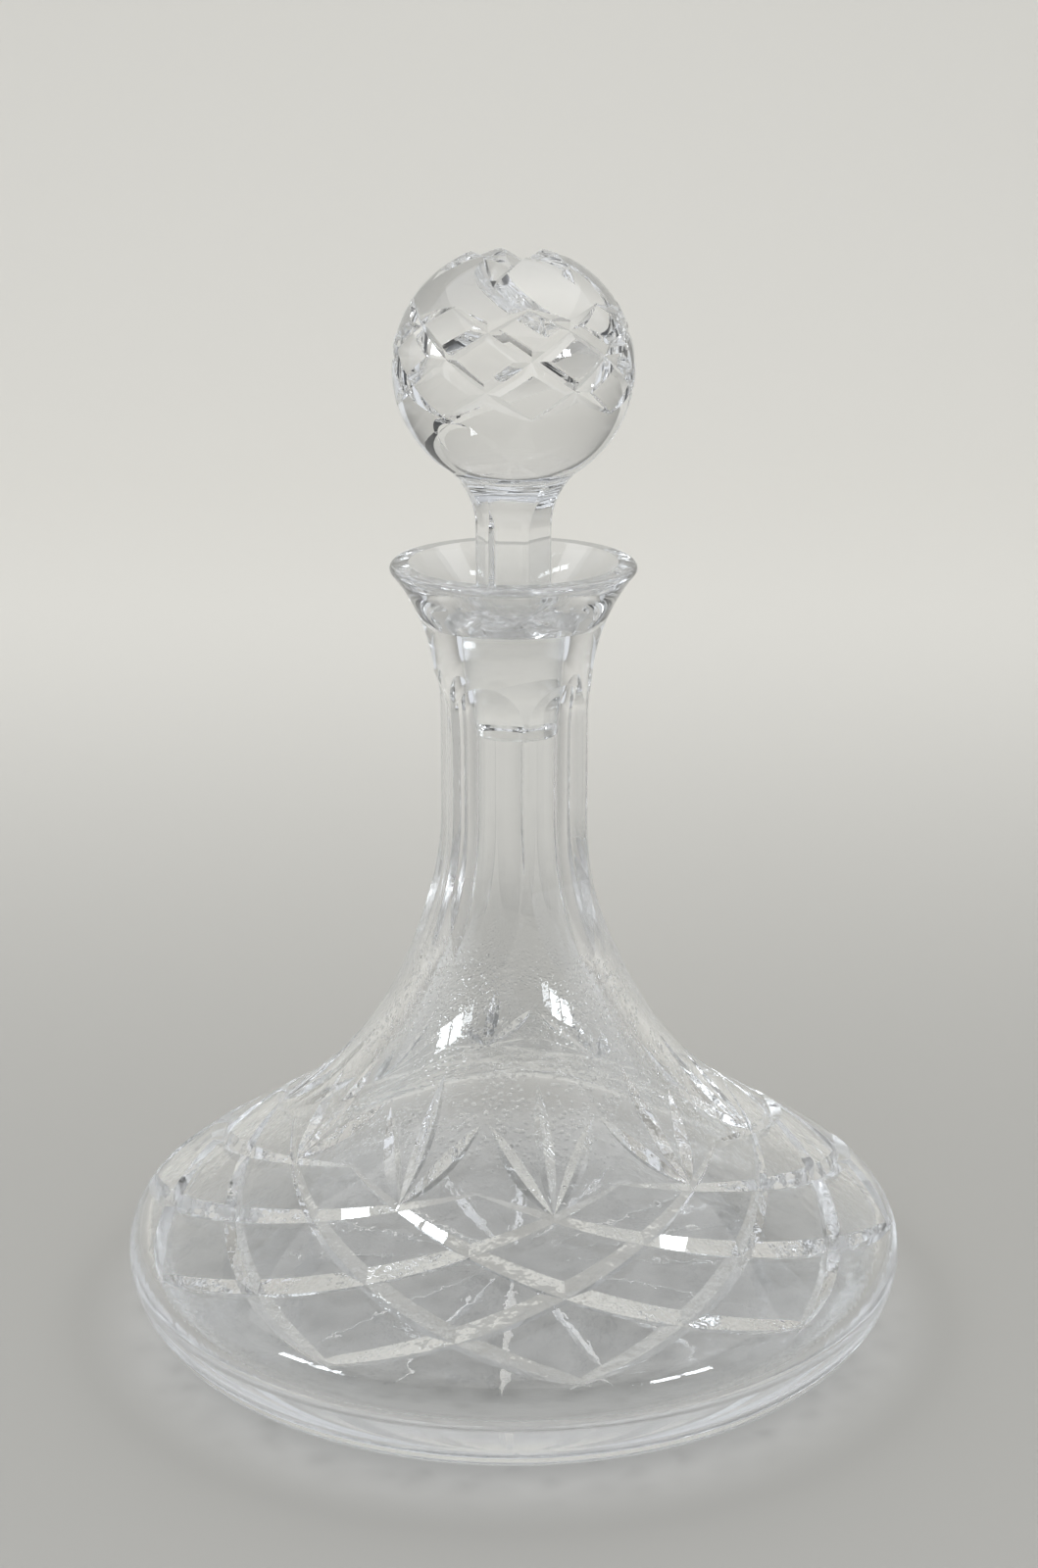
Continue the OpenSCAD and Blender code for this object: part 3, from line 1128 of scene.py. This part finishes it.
    def build(self, lathe: Lathe, material: bpy.types.Material) -> bpy.types.Object:
        """Turn and cut the stopper.

        Args:
            lathe: The shape trees.
            material: The glass.

        Returns:
            The finished stopper.
        """
        outline = Outline(self.chord, self.arc)
        self.draw(outline)
        band = [self.ball_grooves(way) for way in (Way.RIGHT, Way.LEFT)]
        cuts = [self.stem_cuts(), self.crown_star(), *band]
        return lathe.grind("stopper_glass", outline, self.steps, cuts, material)


@dataclass(frozen=True)
class ClearGlass:
    """Clear crystal, misted inside, ground at plug and seat, worn under the foot, with a painted bluish tint
    towards its edges. Lengths are metres.
    """

    name: str = "clear_crystal"
    clear: Colour = (0.988, 0.991, 0.992)
    # Painted light: a bluish tint where the glass turns away from the viewer, standing in for the bluish light
    # seen at its edges
    edge: Colour = (0.9, 0.945, 0.99)
    painted_tint_blend: float = 0.3
    ior: float = 1.54
    ripple_h: float = 0.00011
    ripple_l: float = 0.0034
    calm_z: Pair = (0.04, 0.058)
    calm: float = 0.12
    drop_h: float = 0.0003
    drop_l: float = 0.0014
    drop_r: float = 0.4
    drop_outside: float = 0.4
    patch_l: float = 0.014
    patch: Pair = (0.42, 0.52)
    mist: Band = (0.044, 0.06, 0.08, 0.1)
    ground: Band = (0.1374, 0.138, 0.1664, 0.167)
    ground_r: Band = (0.0086, 0.0089, 0.0116, 0.0119)
    ground_rough: Pair = (0.02, 0.08)
    worn_z: float = 0.0012
    worn_rough: Pair = (0.12, 0.28)
    grain_l: float = 0.0008

    def wet(self, sheet: NodeSheet, spot: Wire) -> Wire:
        """Height of the ripples and drops on the glass.

        Args:
            sheet: The sheet to write into.
            spot: Place on the piece.

        Returns:
            The height, with ripples on the inner wall alone and drops fainter outside.
        """
        inside = sheet.node("ShaderNodeAttribute", {"attribute_name": INSIDE}, None, "Fac")
        height = sheet.part(spot, "Z")
        beads = {"Vector": spot, "Scale": 1 / self.drop_l}
        cells = sheet.node("ShaderNodeTexVoronoi", {"feature": "F1"}, beads)
        swell = sheet.call("SQRT", sheet.maths("MAXIMUM", self.drop_r**2 - cells * cells, 0.0))
        patch = sheet.ease(sheet.noise(spot, self.patch_l), *self.patch)
        drops = swell * patch * sheet.band(height, self.mist)
        ripples = sheet.noise(spot, self.ripple_l) * sheet.ease(height, *self.calm_z, 1.0, self.calm)
        share = inside * (1 - self.drop_outside) + self.drop_outside
        return inside * ripples * self.ripple_h + share * drops * self.drop_h

    def matt(self, sheet: NodeSheet, spot: Wire) -> Wire:
        """Roughness of the ground faces and the worn foot.

        Args:
            sheet: The sheet to write into.
            spot: Place on the piece.

        Returns:
            The roughness.
        """
        height = sheet.part(spot, "Z")
        grain = sheet.noise(spot, self.grain_l)
        ground = sheet.band(height, self.ground) * sheet.band(sheet.from_axis(spot), self.ground_r)
        foot = height < self.worn_z
        dull, worn = (low + grain * (high - low) for low, high in (self.ground_rough, self.worn_rough))
        return ground * dull + foot * worn

    def material(self) -> bpy.types.Material:
        """Write the material.

        Returns:
            The material.
        """
        made = bpy.data.materials.new(self.name)
        made.use_nodes = True
        sheet = NodeSheet(made.node_tree)
        spot = sheet.node("ShaderNodeTexCoord", None, None, "Object")
        # Painted bluish edge tint, by how far each face turns away from the viewer
        rim = sheet.node("ShaderNodeLayerWeight", None, {"Blend": self.painted_tint_blend}, "Facing")
        face = made.node_tree.nodes["Principled BSDF"]
        sheet.feed(face, {
            "Base Color": sheet.mix(rim * rim, self.clear, self.edge),
            "Roughness": self.matt(sheet, spot),
            "IOR": self.ior,
            "Transmission Weight": 1.0,
            "Normal": sheet.node("ShaderNodeBump", None, {"Height": self.wet(sheet, spot), "Distance": 1.0}),
        })
        return made


@dataclass(frozen=True)
class PalePaper:
    """Matt paper on the table and up the wall behind it, with painted light: darker on the table and lighter,
    with a faint painted glow, up the wall, standing in for more light on the wall than on the table; and a
    painted pool of light round the foot. Lengths are metres.
    """

    name: str = "pale_paper"
    # Painted light: the table's darker colour, the wall's lighter colour and the wall's faint glow stand in
    # for more light falling on the wall than on the table
    table: Colour = (0.5, 0.495, 0.47)
    wall: Colour = (0.76, 0.752, 0.715)
    glow: Colour = (0.12, 0.119, 0.112)
    bend: Pair = (0.0, 0.75)
    roughness: float = 0.8
    shine: float = 0.2
    # Painted pool of light: emission on the paper under and round the foot, standing in for light that the
    # glass gathers there
    painted_pool: Colour = (0.24, 0.24, 0.236)
    painted_pool_r: Band = (0.05, 0.074, 0.078, 0.104)
    painted_pool_middle: float = 0.4
    painted_pool_ring: float = 0.7
    painted_net: float = 0.7
    painted_net_l: float = 0.007

    def painted_pool_light(self, sheet: NodeSheet, spot: Wire) -> Wire:
        """Painted light on the paper, in place of light that the glass gathers: a fine net under it and a ring
        round its foot.

        Args:
            sheet: The sheet to write into.
            spot: Place on the paper.

        Returns:
            About one in the ring, zero well outside the foot.
        """
        out = sheet.from_axis(spot)
        ring = sheet.ease(out, *self.painted_pool_r[:2])
        near = 1 - sheet.ease(out, *self.painted_pool_r[2:])
        drift = sheet.node("ShaderNodeTexNoise", None, {"Vector": spot, "Scale": 1 / self.painted_net_l}, 1)
        painted_net = sheet.node(
            "ShaderNodeTexVoronoi", {"feature": "SMOOTH_F1"},
            {"Vector": spot + drift * self.painted_net_l, "Scale": 1 / self.painted_net_l},
        )
        return near * (self.painted_pool_middle + ring * self.painted_pool_ring + near * (painted_net - 0.5) * self.painted_net)

    def material(self) -> bpy.types.Material:
        """Write the material.

        Returns:
            The material.
        """
        made = bpy.data.materials.new(self.name)
        made.use_nodes = True
        sheet = NodeSheet(made.node_tree)
        face = made.node_tree.nodes["Principled BSDF"]
        spot = sheet.node("ShaderNodeTexCoord", None, None, "Object")
        rise = sheet.ease(sheet.part(spot, "Y"), *self.bend)
        # Painted pool of light under and round the foot, fed into the emission
        painted_light = sheet.mix(self.painted_pool_light(sheet, spot), (0.0, 0.0, 0.0), self.painted_pool)
        sheet.feed(face, {
            # Painted light: darker on the table, lighter and faintly glowing up the wall
            "Base Color": sheet.mix(rise, self.table, self.wall),
            "Emission Color": sheet.mix(rise, painted_light, self.glow),
            "Emission Strength": 1.0,
            "Roughness": self.roughness,
            "Specular IOR Level": self.shine,
        })
        return made


@dataclass(frozen=True)
class Floor:
    """A plain floor that curves up into a backdrop, a hair under the foot. Lengths are metres."""

    half: float = 3.0
    front: float = -2.0
    back: float = 1.6
    bend: float = 0.6
    bend_steps: int = 16
    top: float = 2.4
    low: float = -0.0003
    paper: PalePaper = PalePaper()

    def lay(self) -> None:
        """Lay the floor."""
        turns = [math.pi / 2 * i / self.bend_steps for i in range(self.bend_steps + 1)]
        start = self.back - self.bend
        run = [(self.front, self.low)]
        run += [(start + self.bend * math.sin(a), self.low + self.bend * (1 - math.cos(a))) for a in turns]
        run.append((self.back, self.top))
        mesh = bpy.data.meshes.new("floor")
        mesh.from_pydata(
            [(x, y, z) for y, z in run for x in (-self.half, self.half)],
            [],
            [(2 * i, 2 * i + 1, 2 * i + 3, 2 * i + 2) for i in range(len(run) - 1)],
        )
        for face in mesh.polygons:
            face.use_smooth = True
        mesh.materials.append(self.paper.material())
        made = stand("floor", mesh)


@dataclass(frozen=True)
class Room:
    """The room round the table: pale all round, dim where the viewer stands."""

    name: str = "room"
    fill: Colour = (0.15, 0.15, 0.155)
    pale: Colour = (0.74, 0.765, 0.8)
    dim: Colour = (0.03, 0.032, 0.036)
    dim_edge: Pair = (0.2, 0.6)

    def world(self) -> bpy.types.World:
        """Write the surroundings.

        Returns:
            The world.
        """
        made = bpy.data.worlds.new(self.name)
        made.use_nodes = True
        sheet = NodeSheet(made.node_tree)
        way = sheet.node("ShaderNodeTexCoord", None, None, "Generated")
        front = sheet.ease(sheet.part(way, "Y") * -1, *self.dim_edge)
        camera, glossy, through, scattered = (
            sheet.node("ShaderNodeLightPath", None, None, ray)
            for ray in ("Is Camera Ray", "Is Glossy Ray", "Is Transmission Ray", "Diffuse Depth")
        )
        seen = sheet.maths("MINIMUM", camera + glossy + through, 1.0) * (scattered < 0.5)
        glass_sees = sheet.mix(front * (1 - camera), self.pale, self.dim)
        colour = sheet.mix(seen, self.fill, glass_sees)
        sheet.join(colour, made.node_tree.nodes["Background"].inputs["Color"])
        return made


@dataclass(frozen=True)
class Window:
    """A soft window of upright panes, placed by the way it is seen from the object. Lengths are metres."""

    name: str
    turn: float
    tilt: float
    width: float
    height: float
    glow: float
    panes: int = 2
    bar: float = 0.03
    away: float = 1.2
    tint: Colour = (0.9, 0.95, 1.0)
    through: bool = True
    aim: tuple[float, float, float] = (0.0, 0.0, 0.05)

    def hang(self) -> None:
        """Hang one lamp for each pane."""
        middle = Vector(self.aim) + self.away * facing(self.turn, self.tilt)
        turned = (Vector(self.aim) - middle).to_track_quat("-Z", "Y")
        pane = (self.width - self.bar * (self.panes - 1)) / self.panes
        for i in range(self.panes):
            data = bpy.data.lights.new(f"{self.name}_{i + 1}", "AREA")
            data.shape = "RECTANGLE"
            data.size, data.size_y = pane, self.height
            data.energy = self.glow * math.pi * pane * self.height
            data.color = self.tint
            made = stand(data.name, data)
            shift = (i - (self.panes - 1) / 2) * (pane + self.bar)
            made.location = middle + turned @ Vector((shift, 0.0, 0.0))
            made.rotation_euler = turned.to_euler()
            made.visible_transmission = self.through


@dataclass
class Studio:
    """Floor, light and camera. The camera's lengths are millimetres."""

    distance: float = 600.0
    height: float = 312.0
    pitch: float = 17.1
    yaw: float = 0.117
    focal_px: float = 2850.0
    picture: tuple[int, int] = (1059, 1600)
    sensor: float = 36.0
    bounces: int = 32
    floor: Floor = Floor()
    room: Room = Room()
    windows: tuple[Window, ...] = (
        Window("left_window", -61.0, 28.0, 0.38, 0.11, 24.0),
        Window("right_window", 48.0, 25.0, 0.36, 0.11, 22.0),
        Window(
            "ceiling", 0.0, 84.0, 3.4, 3.4, 1.0,
            panes=1, bar=0.0, away=1.8, tint=(1.0, 0.99, 0.975), through=False,
        ),
    )

    def camera(self) -> None:
        """Set the camera at the picture's viewing angle."""
        data = bpy.data.cameras.new("picture_camera")
        data.sensor_fit = "VERTICAL"
        data.sensor_height = self.sensor
        data.lens = self.focal_px / self.picture[1] * self.sensor
        made = stand("picture_camera", data)
        made.location = (0.0, -self.distance * MM, self.height * MM)
        made.rotation_euler = (math.radians(90.0 - self.pitch), 0.0, math.radians(-self.yaw))
        bpy.context.scene.camera = made

    def set_up(self) -> None:
        """Build the whole studio."""
        self.camera()
        self.floor.lay()
        for window in self.windows:
            window.hang()
        scene = bpy.context.scene
        scene.world = self.room.world()
        scene.view_settings.view_transform = "Standard"
        rays = scene.cycles
        rays.max_bounces = rays.glossy_bounces = rays.transmission_bounces = self.bounces
        rays.caustics_reflective = rays.caustics_refractive = False


def dress(piece: bpy.types.Object, body: str, node: str) -> None:
    """Tie a finished piece to its body and hide the solid that it stands for.

    Args:
        piece: The finished piece.
        body: Name of the body.
        node: Name of the solid.
    """
    piece.visible_shadow = False
    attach(piece, body)
    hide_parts(node)
    LOG.info("%s: %d faces", piece.name, len(piece.data.polygons))


def main() -> None:
    """Build the pieces in order, then the studio."""
    logging.basicConfig(level=logging.INFO, format="%(message)s")
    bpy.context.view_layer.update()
    lathe = Lathe()
    glass = ClearGlass().material()
    dress(DecanterBody().build(lathe, glass), "decanter", "decanter_body")
    dress(Stopper().build(lathe, glass), "stopper", "stopper")
    Studio().set_up()


if __name__ == "__main__":
    main()
